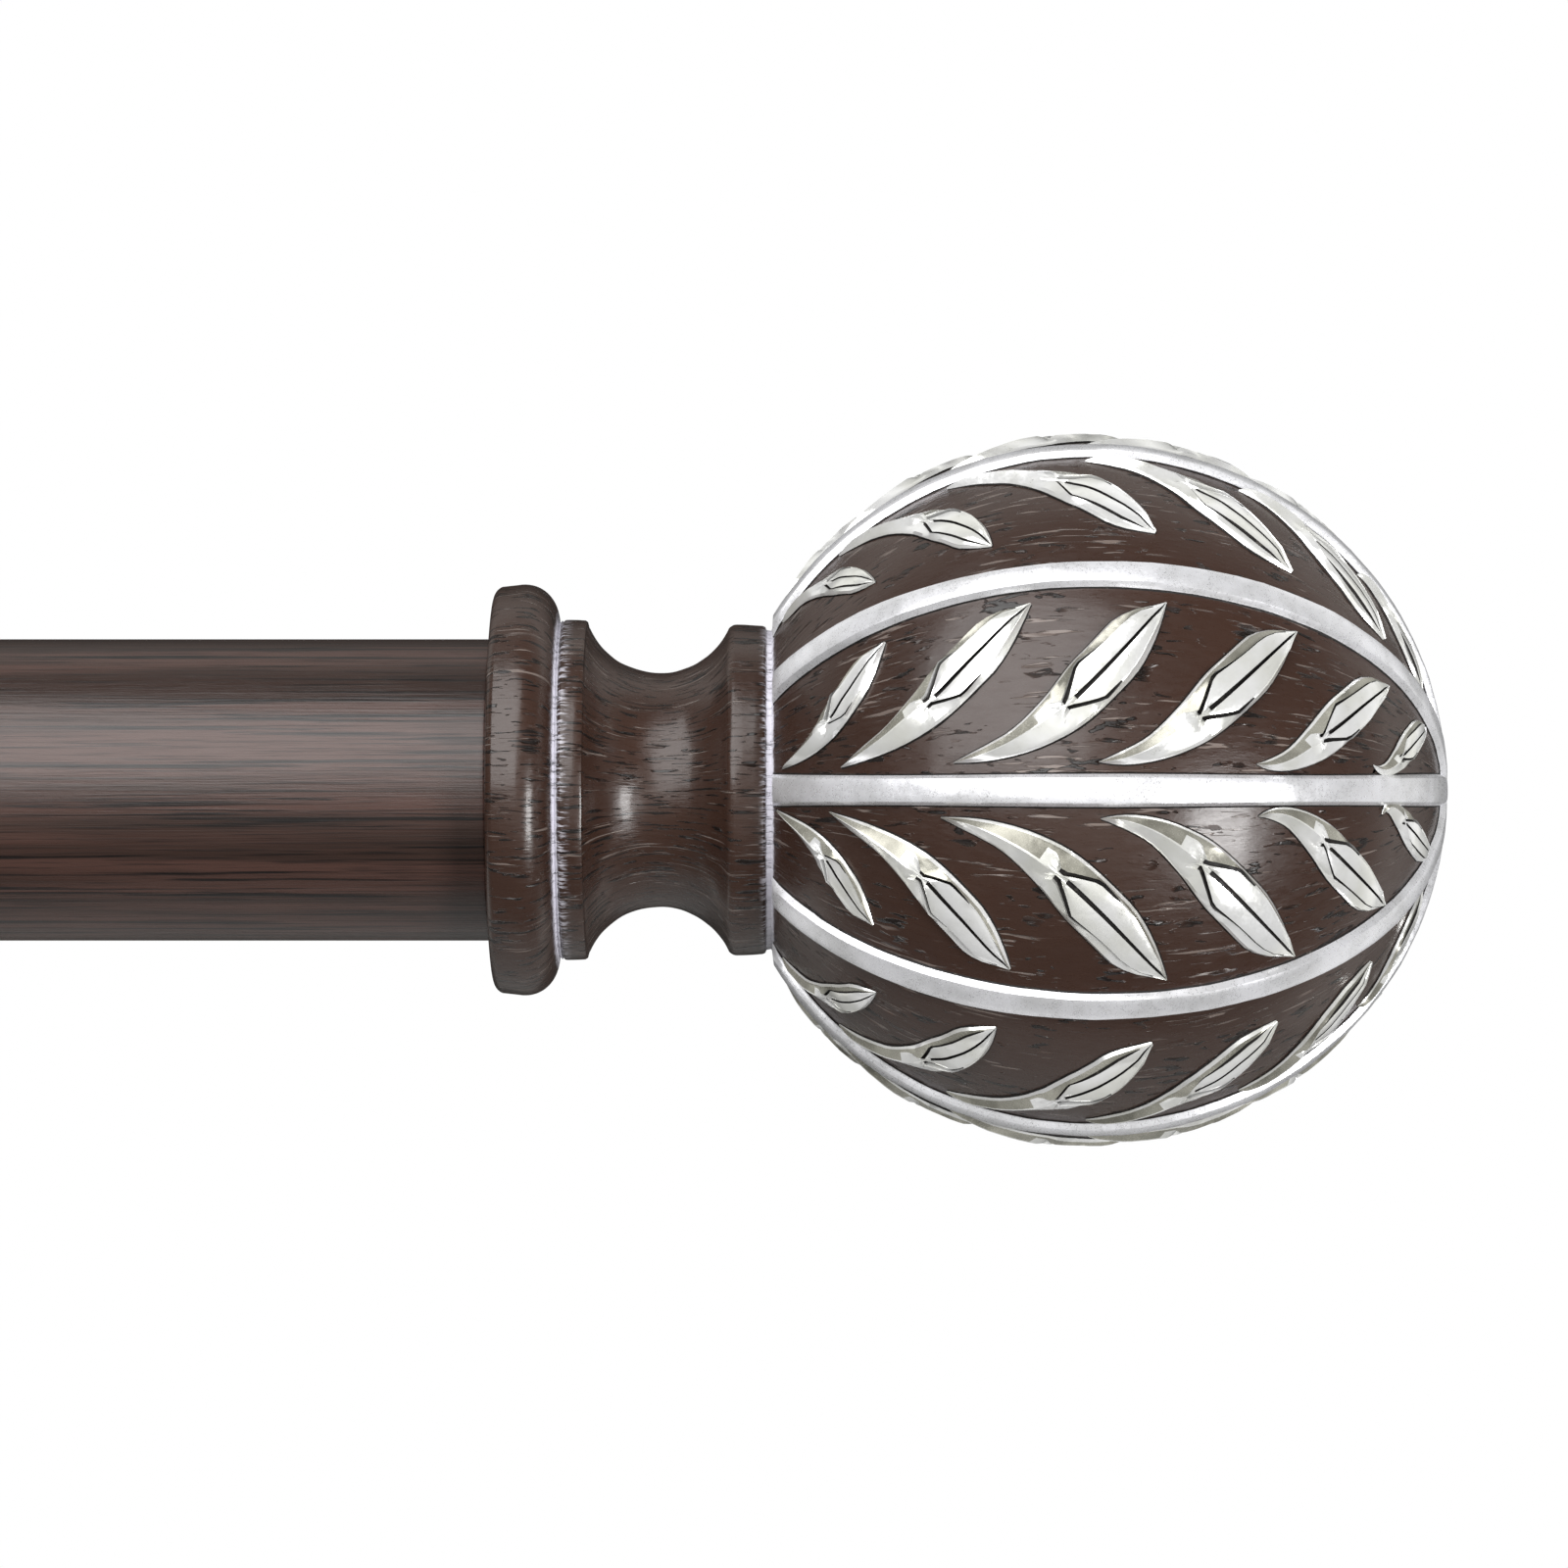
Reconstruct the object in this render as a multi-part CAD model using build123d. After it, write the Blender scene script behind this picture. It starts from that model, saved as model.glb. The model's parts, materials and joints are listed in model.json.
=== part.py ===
from build123d import *

import os
from math import acos, degrees, sqrt

# Telescoping curtain pole with a carved ball finial on each end, carried by two wall brackets.
# Millimetres. +X runs along the pole to its right-hand end, +Y points into the wall, +Z is up.
# The origin is the centre of the right-hand bracket's wall plate, on the wall.
# Turned pieces are drawn standing on +Z from a (radius, height) outline and then laid in place.

# ---- driving dimensions -------------------------------------------------------------------

INCH = 25.4

POLE_COLLAPSED = 28 * INCH  # length between the finials with the tubes pushed together
POLE_TRAVEL = 20 * INCH  # the 28 to 48 inch size
OUTER_TUBE_R = 19.0  # nominal 1 1/2 inch pole
INNER_TUBE_R = 17.45
TUBE_WALL = 1.0
TUBE_EDGE = 0.6  # rolled outer edge where a tube meets its finial

BRACKET_INSET = 105.0  # finial face to bracket centre
PROJECTION = 3.5 * INCH  # wall to pole axis with the arms pushed in
RUNNING = 0.05  # radial clearance of every sliding pair
TOUCH = 0.03  # gap where a clamped piece bears on a curved face

# ---- finial: outline of the neck, then the ball -------------------------------------------

FLANGE_R = 25.9
FLANGE_BACK_R = 24.0  # where the flat back face ends
FLANGE_CREST = 3.2  # height of the flange's widest line
FLANGE_ROUND = 4.5  # quarter round towards the first ring
FIRST_RING_R = 21.4
FIRST_RING_BOTTOM = 8.2
FIRST_RING_TOP = 11.7
NECK_LIP_R = 20.5  # where the cove meets each ring
COVE_R = 9.64  # radius of the cove's own curve
COVE_BOTTOM_R = 14.76  # thinnest part of the neck
COVE_HEIGHT = 20.7
SECOND_RING_R = 20.75
SECOND_RING_BOTTOM = 29.9
BALL_BOTTOM_R = 20.5
BALL_CENTRE = 74.25
BALL_R = 43.7
BALL_HALF_LENGTH = 44.5
RIB_COUNT = 10
RIB_WIDTH = 3.7
RIB_RELIEF = 0.9

STUD_R = 4.0
STUD_PITCH = 1.25
STUD_IN_FINIAL = 16.0
STUD_IN_PLUG = 17.0
PLUG_LENGTH = 18.0
LINER_LIP = 1.5
LINER_LIP_EDGE = 0.7
LINER_SLEEVE = 12.0  # how far the liner reaches into the outer tube
BUSH_COLLAR = 3.0
BUSH_SPIGOT = 14.0
BUSH_WALL = 2.5

# ---- bracket ------------------------------------------------------------------------------

PLATE_R = 24.0
PLATE_T = 4.0
PLATE_HOLE_R = 2.6
PLATE_HOLE_SPACING = 28.0
PLATE_SINK_R = 4.6

BASE_R = 28.0
BASE_OFF_WALL = 0.2
BASE_WALL_R = PLATE_R + 0.15  # drops over the wall plate
BASE_CEILING = 9.5  # leaves room for the wall screws' heads
BASE_RIM_TOP = 4.6  # where the rim starts to round over
BASE_RING_R = 25.6  # the step above the rim, as on the finial's flange
BASE_RING_TOP = 12.0
BASE_RING_BEVEL = (1.2, 0.6)  # radial and axial size
BASE_COVE_MIDDLE = (13.8, 16.6)  # radius and height of a point halfway along the cove
BASE_NECK = 27.0  # where the cove meets the sleeve
SLEEVE_R = 9.0
SLEEVE_BEAD_R = 10.6
SLEEVE_BEAD_LENGTH = 5.0
SLEEVE_END = 56.0

ARM_R = 5.5
ARM_FOOT = 4.4  # the arm's inner end, just off the wall plate
ARM_SOCKET = 6.0
BOSS_REACH = 6.5  # how far the cradle's rear boss stands off its back wall
ARM_BOSS_R = 8.5

CRADLE_R = 19.3
CRADLE_T = 4.1
CRADLE_WIDTH = 13.0
CRADLE_BACK = 14.0  # height of the back wall over the pole axis
CRADLE_FRONT = 9.0
CRADLE_BOSS = 4.0
SCREW_BOSS_R = 5.6
EDGE = 0.8  # fillet on the cast pieces' edges
TURNED_EDGE = 0.6  # chamfer on the turned pieces' edges

THREAD_DEPTH = 0.54  # as a share of the pitch
SCREW_R = 2.5
SCREW_PITCH = 0.8
KNOB_R = 6.5
KNOB_T = 6.0
KNOB_NECK = 1.2
KNOB_NECK_R = 4.0
KNOB_FLUTES = 20
FLUTE_R = 0.55
ARM_SCREW_HEIGHT = 44.0
ARM_SCREW_BOSS = 13.0  # sleeve axis to the boss's face
CRADLE_SCREW_LENGTH = 12.6
ARM_SCREW_LENGTH = 9.0
GRUB_R = 1.5
GRUB_PITCH = 0.5
GRUB_HEIGHT = 2.4
GRUB_LENGTH = 3.8
GRUB_SOCKET = 1.5  # across flats

# ---- places -------------------------------------------------------------------------------

RIGHT_END = BRACKET_INSET
LEFT_END = RIGHT_END - POLE_COLLAPSED
LEFT_BRACKET = LEFT_END + BRACKET_INSET
MOUTH = LEFT_BRACKET + 11.0  # outer tube's open end, clear of the left cradle
INNER_TUBE_END = RIGHT_END - PLUG_LENGTH - 7.0  # clear of the right-hand plug

FACING_RIGHT = Rot(0, 90, 0)  # lays +Z along +X
FACING_LEFT = Rot(0, -90, 0)
FACING_ROOM = Rot(90, 0, 0)  # lays +Z along -Y, away from the wall
FACING_WALL = Rot(-90, 0, 0)
FACING_DOWN = Rot(180, 0, 0)


def turned(outline):
    """Solid of revolution about Z of a closed (radius, height) outline."""
    return revolve(Plane.XZ * make_face(outline), Axis.Z)


def ring(outer_r, inner_r, height):
    """Tube standing on the XY plane."""
    return extrude(Circle(outer_r) - Circle(inner_r), height)


def rod(radius, height):
    return extrude(Circle(radius), height)


def threaded(radius, pitch, height):
    """Rod whose thread is drawn as plain V grooves, one for each turn."""
    depth = THREAD_DEPTH * pitch
    points = [(0, 0), (radius - depth, 0)]
    for turn in range(int(height / pitch)):
        points.append((radius, (turn + 0.5) * pitch))
        points.append((radius - depth, (turn + 1) * pitch))
    points += [(radius - depth, height), (0, height)]
    return turned(Polyline(points, close=True).edges())


def on_pole(x):
    """A place on the pole's axis."""
    return Pos(x, -PROJECTION, 0)


# ---- pole ---------------------------------------------------------------------------------


def tube(outer_r, finial_end, facing, length):
    """Pole tube running back from its finial, where its outer edge is rolled over."""
    blank = rod(outer_r, length)
    rim = blank.edges().sort_by(Axis.Z)[-1]
    shape = fillet(rim, TUBE_EDGE) - rod(outer_r - TUBE_WALL, length)
    return on_pole(finial_end) * facing * Pos(0, 0, -length) * shape


def mouth_liner():
    """Plastic ring in the outer tube's mouth, which the inner tube runs through."""
    bore = INNER_TUBE_R + RUNNING
    length = LINER_LIP + LINER_SLEEVE
    lip = fillet(rod(OUTER_TUBE_R, LINER_LIP).edges().sort_by(Axis.Z)[0], LINER_LIP_EDGE)
    shape = lip + rod(OUTER_TUBE_R - TUBE_WALL, length) - rod(bore, length)
    return on_pole(MOUTH - LINER_LIP) * FACING_RIGHT * shape


def glide_bush():
    """Nylon bush plugged into the inner tube's hidden end, which guides it in the outer tube."""
    spigot_r = INNER_TUBE_R - TUBE_WALL
    shape = rod(OUTER_TUBE_R - TUBE_WALL - RUNNING, BUSH_COLLAR)
    shape += Pos(0, 0, BUSH_COLLAR) * rod(spigot_r, BUSH_SPIGOT)
    shape -= rod(spigot_r - BUSH_WALL, BUSH_COLLAR + BUSH_SPIGOT)
    return on_pole(INNER_TUBE_END + BUSH_COLLAR) * FACING_LEFT * shape


def end_plug(tube_r, end, facing):
    """Plug pressed into a tube's end, with the tapped hole that takes the finial's stud."""
    plug = ring(tube_r - TUBE_WALL, STUD_R + RUNNING, PLUG_LENGTH)
    return on_pole(end) * facing * Pos(0, 0, -PLUG_LENGTH) * plug


# ---- finial -------------------------------------------------------------------------------


def ball_arc(relief):
    """Meridian of the ball, raised by relief, from the second ring up to the pole."""
    start = degrees(acos(BALL_BOTTOM_R / BALL_R))
    width = BALL_R + relief
    half_length = BALL_HALF_LENGTH + relief
    return EllipticalCenterArc((0, BALL_CENTRE), width, half_length, -start, arc_size=90 + start)


def finial_body():
    """Flange, two rings with a cove between them, and the ball, turned as one casting."""
    ball = ball_arc(0)
    back_round = FLANGE_R - FLANGE_BACK_R
    shoulder = FIRST_RING_BOTTOM - FLANGE_ROUND
    cove_half = sqrt(COVE_R**2 - (COVE_BOTTOM_R + COVE_R - NECK_LIP_R) ** 2)
    lip_low = (NECK_LIP_R, COVE_HEIGHT - cove_half)
    lip_high = (NECK_LIP_R, COVE_HEIGHT + cove_half)
    outline = [
        Line((0, 0), (FLANGE_BACK_R, 0)),
        EllipticalCenterArc((FLANGE_BACK_R, FLANGE_CREST), back_round, FLANGE_CREST, -90, arc_size=90),
        Line((FLANGE_R, FLANGE_CREST), (FLANGE_R, shoulder)),
        CenterArc((FIRST_RING_R, shoulder), FLANGE_ROUND, 0, 90),
        Line((FIRST_RING_R, FIRST_RING_BOTTOM), (FIRST_RING_R, FIRST_RING_TOP)),
        Line((FIRST_RING_R, FIRST_RING_TOP), lip_low),
        ThreePointArc(lip_low, (COVE_BOTTOM_R, COVE_HEIGHT), lip_high),
        Line(lip_high, (SECOND_RING_R, SECOND_RING_BOTTOM)),
        Line((SECOND_RING_R, SECOND_RING_BOTTOM), ball @ 0),
        ball,
        Line(ball @ 1, (0, 0)),
    ]
    return turned(outline)


def finial_rib_pairs():
    """Ribs down the ball's meridians, two to a piece: a larger ball kept only inside thin slabs."""
    cap = ball_arc(RIB_RELIEF)
    foot = cap @ 0
    raised = turned([cap, Line(cap @ 1, (0, foot.Y)), Line((0, foot.Y), foot)])
    bottom = (ball_arc(0) @ 0).Y
    slab = Pos(0, 0, bottom + 2 * BALL_R) * Box(RIB_WIDTH, 4 * BALL_R, 4 * BALL_R)
    return [raised & Rot(0, 0, 360 / RIB_COUNT * turn) * slab for turn in range(RIB_COUNT // 2)]


def finial(end, facing):
    """Cast finial with its back face on the tube's end, bored for its stud."""
    shape = finial_body()
    for ribs in finial_rib_pairs():
        shape += ribs
    shape -= rod(STUD_R, STUD_IN_FINIAL)
    return on_pole(end) * facing * shape


def finial_stud(end, facing):
    """Stud cast into the finial, plain inside it and threaded where it enters the plug."""
    shape = Pos(0, 0, -STUD_IN_PLUG) * threaded(STUD_R, STUD_PITCH, STUD_IN_PLUG)
    shape += rod(STUD_R, STUD_IN_FINIAL)
    return on_pole(end) * facing * shape


# ---- bracket ------------------------------------------------------------------------------


def wall_plate(x):
    """Steel disc screwed to the wall, with two countersunk holes one above the other."""
    sink = PLATE_SINK_R - PLATE_HOLE_R
    shape = rod(PLATE_R, PLATE_T)
    shape = chamfer(shape.edges().sort_by(Axis.Z)[-1], TURNED_EDGE)
    hole = rod(PLATE_HOLE_R, PLATE_T)
    hole += Pos(0, 0, PLATE_T - sink / 2) * Cone(PLATE_HOLE_R, PLATE_SINK_R, sink)
    for side in (-1, 1):
        shape -= Pos(0, side * PLATE_HOLE_SPACING / 2, 0) * hole
    return Pos(x, 0, 0) * FACING_ROOM * shape


def bracket_base(x):
    """Cast cup that covers the wall plate, drawn out into the sleeve that the arm slides in."""
    bore = ARM_R + RUNNING
    rim_round = BASE_R - BASE_RING_R
    ring_start = (BASE_RING_R, BASE_RIM_TOP + rim_round)
    ring_end = (BASE_RING_R, BASE_RING_TOP - BASE_RING_BEVEL[1])
    cove_start = (BASE_RING_R - BASE_RING_BEVEL[0], BASE_RING_TOP)
    neck = (SLEEVE_R, BASE_NECK)
    bead_start = (SLEEVE_R, SLEEVE_END - SLEEVE_BEAD_LENGTH)
    bead_middle = (SLEEVE_BEAD_R, SLEEVE_END - SLEEVE_BEAD_LENGTH / 2)
    outline = [
        Line((BASE_WALL_R, BASE_OFF_WALL), (BASE_R, BASE_OFF_WALL)),
        Line((BASE_R, BASE_OFF_WALL), (BASE_R, BASE_RIM_TOP)),
        CenterArc((BASE_RING_R, BASE_RIM_TOP), rim_round, 0, 90),
        Line(ring_start, ring_end),
        Line(ring_end, cove_start),
        ThreePointArc(cove_start, BASE_COVE_MIDDLE, neck),
        Line(neck, bead_start),
        ThreePointArc(bead_start, bead_middle, (SLEEVE_R, SLEEVE_END)),
        Line((SLEEVE_R, SLEEVE_END), (bore, SLEEVE_END)),
        Line((bore, SLEEVE_END), (bore, BASE_CEILING)),
        Line((bore, BASE_CEILING), (BASE_WALL_R, BASE_CEILING)),
        Line((BASE_WALL_R, BASE_CEILING), (BASE_WALL_R, BASE_OFF_WALL)),
    ]
    downwards = Rot(90, 0, 0)  # local -Y is down once the piece faces the room
    boss = fillet(rod(SCREW_BOSS_R, ARM_SCREW_BOSS).edges().sort_by(Axis.Z)[-1], EDGE)
    shape = turned(outline) + Pos(0, 0, ARM_SCREW_HEIGHT) * downwards * boss
    shape -= rod(bore, 2 * SLEEVE_END)
    shape -= Pos(0, 0, ARM_SCREW_HEIGHT) * downwards * rod(SCREW_R + RUNNING, 2 * ARM_SCREW_BOSS)
    shape -= Pos(0, 0, GRUB_HEIGHT) * downwards * Pos(0, 0, PLATE_R) * rod(GRUB_R + RUNNING, BASE_R)
    return Pos(x, 0, 0) * FACING_ROOM * shape


def bracket_arm(x, reach):
    """Round steel arm, locked in the sleeve and seated in the cradle's rear boss."""
    end = reach - CRADLE_R - CRADLE_T - BOSS_REACH + ARM_SOCKET
    shape = Pos(0, 0, ARM_FOOT) * rod(ARM_R, end - ARM_FOOT)
    shape = chamfer(shape.edges().sort_by(Axis.Z)[0], TURNED_EDGE)
    return Pos(x, 0, 0) * FACING_ROOM * shape


def cradle(x, reach):
    """Open-topped hook that the pole drops into, low at the front where its thumbscrew goes."""
    reach_r = CRADLE_R + CRADLE_T
    hook = Circle(reach_r) & Pos(0, -reach_r) * Rectangle(2 * reach_r, 2 * reach_r)
    for side, height in ((-1, CRADLE_FRONT), (1, CRADLE_BACK)):
        middle = side * (CRADLE_R + CRADLE_T / 2)
        hook += Pos(middle, height / 2) * Rectangle(CRADLE_T, height)
        hook += Pos(middle, height) * Circle(CRADLE_T / 2)
    hook -= Circle(CRADLE_R)
    shape = extrude(Plane.YZ * hook, CRADLE_WIDTH / 2, both=True)
    for end in (0, -1):
        shape = fillet(shape.edges().group_by(Axis.X)[end], EDGE)

    wall_middle = CRADLE_R + CRADLE_T / 2
    for facing, radius, stand_off in (
        (FACING_ROOM, SCREW_BOSS_R, CRADLE_BOSS),
        (FACING_WALL, ARM_BOSS_R, BOSS_REACH),
    ):
        boss = rod(radius, reach_r + stand_off - wall_middle)
        boss = fillet(boss.edges().sort_by(Axis.Z)[-1], EDGE)
        shape += facing * Pos(0, 0, wall_middle) * boss
    shape -= FACING_WALL * Pos(0, 0, reach_r + BOSS_REACH - ARM_SOCKET) * rod(ARM_R, 2 * ARM_SOCKET)
    shape -= FACING_ROOM * rod(SCREW_R + RUNNING, 2 * CRADLE_R)
    return Pos(x, -reach, 0) * shape


def knob():
    """Fluted thumbscrew head with a short neck under it, standing on the XY plane."""
    shape = Pos(0, 0, KNOB_NECK) * rod(KNOB_R, KNOB_T)
    shape = chamfer(shape.edges().filter_by(GeomType.CIRCLE), TURNED_EDGE)
    flute = rod(FLUTE_R, KNOB_NECK + KNOB_T)
    for place in PolarLocations(KNOB_R, KNOB_FLUTES):
        shape -= place * flute
    return shape + rod(KNOB_NECK_R, KNOB_NECK + KNOB_T / 2)


def thumbscrew(length):
    """Thumbscrew with its tip on the XY plane and its head above."""
    return threaded(SCREW_R, SCREW_PITCH, length) + Pos(0, 0, length) * knob()


def cradle_screw(x, pole_r):
    """Pushes the pole back against the cradle's rear wall."""
    return Pos(x, -(PROJECTION + pole_r + RUNNING), 0) * FACING_ROOM * thumbscrew(CRADLE_SCREW_LENGTH)


def arm_screw(x):
    """Locks the arm in the sleeve from below."""
    return Pos(x, -ARM_SCREW_HEIGHT, -(ARM_R + RUNNING)) * FACING_DOWN * thumbscrew(ARM_SCREW_LENGTH)


def grub_screw(x):
    """Socket screw in the base's rim, which grips the wall plate's edge."""
    shape = threaded(GRUB_R, GRUB_PITCH, GRUB_LENGTH)
    socket = extrude(RegularPolygon(GRUB_SOCKET / 2, 6, major_radius=False), GRUB_LENGTH / 2)
    shape -= Pos(0, 0, GRUB_LENGTH / 2) * socket
    return Pos(x, -GRUB_HEIGHT, -(PLATE_R + RUNNING)) * FACING_DOWN * shape


# ---- assembly -----------------------------------------------------------------------------


def bracket_pieces(side, x, pole_r):
    """One bracket's pieces. Clamping presses the pole to the back of its cradle, so the cradle
    stands further out by the slack it has round that tube."""
    reach = PROJECTION + CRADLE_R - pole_r - TOUCH
    return {
        f"{side}_wall_plate": wall_plate(x),
        f"{side}_bracket_base": bracket_base(x),
        f"{side}_base_grub_screw": grub_screw(x),
        f"{side}_bracket_arm": bracket_arm(x, reach),
        f"{side}_arm_thumbscrew": arm_screw(x),
        f"{side}_cradle": cradle(x, reach),
        f"{side}_cradle_thumbscrew": cradle_screw(x, pole_r),
    }


def finial_pieces(side, end, tube_r, facing):
    return {
        f"{side}_end_plug": end_plug(tube_r, end, facing),
        f"{side}_finial": finial(end, facing),
        f"{side}_finial_stud": finial_stud(end, facing),
    }


def assembly():
    pieces = {
        "outer_tube": tube(OUTER_TUBE_R, RIGHT_END, FACING_RIGHT, RIGHT_END - MOUTH),
        "inner_tube": tube(INNER_TUBE_R, LEFT_END, FACING_LEFT, INNER_TUBE_END - LEFT_END),
        "mouth_liner": mouth_liner(),
        "glide_bush": glide_bush(),
    }
    pieces |= finial_pieces("right", RIGHT_END, OUTER_TUBE_R, FACING_RIGHT)
    pieces |= finial_pieces("left", LEFT_END, INNER_TUBE_R, FACING_LEFT)
    pieces |= bracket_pieces("right", 0, OUTER_TUBE_R)
    pieces |= bracket_pieces("left", LEFT_BRACKET, INNER_TUBE_R)
    return pieces


os.makedirs("parts", exist_ok=True)
for name, piece in assembly().items():
    export_step(piece, f"parts/{name}.step")
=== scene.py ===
import json
import math

import bpy
import numpy as np
from mathutils import Matrix, Vector, noise


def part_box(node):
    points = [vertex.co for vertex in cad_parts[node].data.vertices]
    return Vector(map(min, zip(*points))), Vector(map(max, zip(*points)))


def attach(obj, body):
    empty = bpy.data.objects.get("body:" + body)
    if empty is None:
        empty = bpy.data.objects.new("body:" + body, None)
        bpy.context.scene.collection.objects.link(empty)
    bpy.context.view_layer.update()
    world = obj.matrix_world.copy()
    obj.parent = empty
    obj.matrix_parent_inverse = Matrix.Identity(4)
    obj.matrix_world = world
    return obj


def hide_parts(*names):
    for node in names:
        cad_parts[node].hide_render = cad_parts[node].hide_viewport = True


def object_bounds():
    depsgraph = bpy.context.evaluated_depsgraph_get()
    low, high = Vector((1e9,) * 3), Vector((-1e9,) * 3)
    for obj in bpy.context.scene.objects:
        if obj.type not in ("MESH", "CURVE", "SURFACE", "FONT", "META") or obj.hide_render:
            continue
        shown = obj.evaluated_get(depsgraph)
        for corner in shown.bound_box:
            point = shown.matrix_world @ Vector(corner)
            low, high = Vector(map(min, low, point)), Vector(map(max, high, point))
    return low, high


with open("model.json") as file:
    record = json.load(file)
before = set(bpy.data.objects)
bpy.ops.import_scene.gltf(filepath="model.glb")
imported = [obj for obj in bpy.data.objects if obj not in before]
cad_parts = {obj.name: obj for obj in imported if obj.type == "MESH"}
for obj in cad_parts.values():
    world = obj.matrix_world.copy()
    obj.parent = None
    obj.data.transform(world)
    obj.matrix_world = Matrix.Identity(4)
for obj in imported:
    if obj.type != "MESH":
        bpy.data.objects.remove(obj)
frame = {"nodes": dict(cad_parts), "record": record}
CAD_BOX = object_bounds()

# Looks for the telescoping curtain pole: its two carved finials, the wood-grain film on its
# tubes, the brackets' paint, the studio and the camera. The frame is in metres; sizes below
# are millimetres, or degrees round the finial's axis.

MM = 0.001

# ---- places taken from the frame ----------------------------------------------------------


def node_middle(node):
    low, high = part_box(node)
    return (low + high) / 2


RIGHT_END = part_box("right_finial")[0].x / MM
LEFT_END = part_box("left_finial")[1].x / MM
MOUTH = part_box("outer_tube")[0].x / MM
INNER_TUBE_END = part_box("inner_tube")[1].x / MM
AXIS_Y = node_middle("outer_tube").y / MM
OUTER_TUBE_R = (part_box("outer_tube")[1].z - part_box("outer_tube")[0].z) / 2 / MM
INNER_TUBE_R = (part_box("inner_tube")[1].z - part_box("inner_tube")[0].z) / 2 / MM

# ---- finial sizes -------------------------------------------------------------------------

FLANGE_BACK_R = 24.0  # where the flat back face ends
# Rounds of the flange's section: centre and radii as (height, radius), first and last angle, steps.
FLANGE_ROUNDS = (
    ((1.5, 24.2), (1.5, 1.5), 180, 110, 6),  # back edge
    ((3.8, 25.4), (1.5, 0.5), 120, 90, 3),  # crest
    ((3.9, 21.6), (4.1, 4.3), 90, 4, 14),  # front, down to the groove
)
FIRST_GROOVE = 8.3  # between the flange and the first ring
FIRST_GROOVE_R = 21.1
FIRST_RING_R = 21.45
COVE_MIDDLE = 20.7
COVE_CURVE = (24.4, 9.64)  # the cove's centre lies this far out, and its own radius
SECOND_RING_R = 20.85
BALL_CENTRE = 74.25
BALL_R = 43.7
BALL_HALF_LENGTH = 44.5
RING_R = 20.5
BALL_START = BALL_CENTRE - BALL_HALF_LENGTH * math.sqrt(1 - (RING_R / BALL_R) ** 2)
STUD_R = 4.0
STUD_DEPTH = 16.0
SEGMENTS = 120  # round the finial's axis
HAND_CAST_START = 10.0  # the surface is left even below this height, where it meets the pole
HAND_CAST_DEPTH = 0.1
GRAIN_R = 0.03  # metres, one turn of the finial's grain map is drawn at this radius

MM_PER_DEGREE = math.pi * BALL_R / 180

RIB_COUNT = 10
RIB_HALF_WIDTH = 1.85
RIB_RELIEF = 1.0
RIB_END = 178.5  # degrees along the ball, just short of its far end
RIB_ROUND_START = 1.3  # degrees
# Half of a rib's section, from its edge in: (share of its half width, height).
RIB_SECTION = (
    (1.14, -1.2), (1.13, -0.03), (1.0, 0.14), (0.96, 0.36), (0.76, 0.9), (0.6, 0.97), (0.3, 1.0),
)

SPRAYS = 5  # every second rib is a stem with leaves on both sides
LEAF_MODEL_LENGTH = 32.0  # the leaf that the tables below are drawn for
STALK_SHARE = 0.54  # how far along a leaf its blade starts
ARM_SLOPE = 0.53  # sideways run of the two cuts that open the blade
EDGE_CHAMFER = 0.28
EDGE_CHAMFER_HEIGHT = 0.45
CUT_WALL = 0.05
OUTLINE_WIDTH = 0.2  # dark line round a leaf
MIDRIB_DEPTH = 0.5
CUT_DEPTH = 0.55
SHEATH_HEIGHT = 1.15
SHEATH_DROP = 0.4  # how much lower the sheath on side 1 gets past the blade's start
SHADED_STALK = 0.42  # share of a leaf over which a whole flank of the stalk is painted shade

# Base, blade start and tip of each leaf on one side of a stem: degrees from the neck end of
# the ball, degrees round from the stem.
LEAVES = (
    ((31.5, 6.5), (43.3, 15.3), (54.8, 29.8)),
    ((46.0, 5.0), (62.5, 15.2), (79.0, 31.0)),
    ((66.5, 4.7), (84.0, 13.0), (99.8, 31.0)),
    ((89.0, 4.4), (104.5, 11.7), (121.8, 30.6)),
    ((114.0, 4.5), (126.0, 10.0), (142.8, 28.5)),
    ((138.0, 6.0), (145.5, 9.0), (156.8, 26.8)),
)

# The carving isn't regular: these degrees are added to the places above. The leaves on side -1 of
# the front stem move along the ball at their base, and the tips of all but the leaves on its side 1
# move along and round.
LOWER_BASE_SHIFTS = (-1.8, -2.6, -2.1, 0.3, 0.3, 2.5)
UNMOVED = ((0.0, 0.0),) * len(LEAVES)
TIP_SHIFTS = {
    ("front", -1): ((-2.3, -2.1), (-3.2, -1.0), (0.1, 0.4), (-0.3, 1.5), (-0.9, 2.5), (2.5, 3.5)),
    ("other", -1): ((-1.6, -3.9), (-5.7, -3.4), (-1.0, -4.6), (0.1, -3.8), (0.2, -1.0), (0.0, 0.0)),
    ("other", 1): ((-1.6, -2.3), (-5.1, -1.6), (-1.6, -3.3), (-2.5, -5.6), (-3.3, -3.7), (0.0, 0.0)),
}

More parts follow.
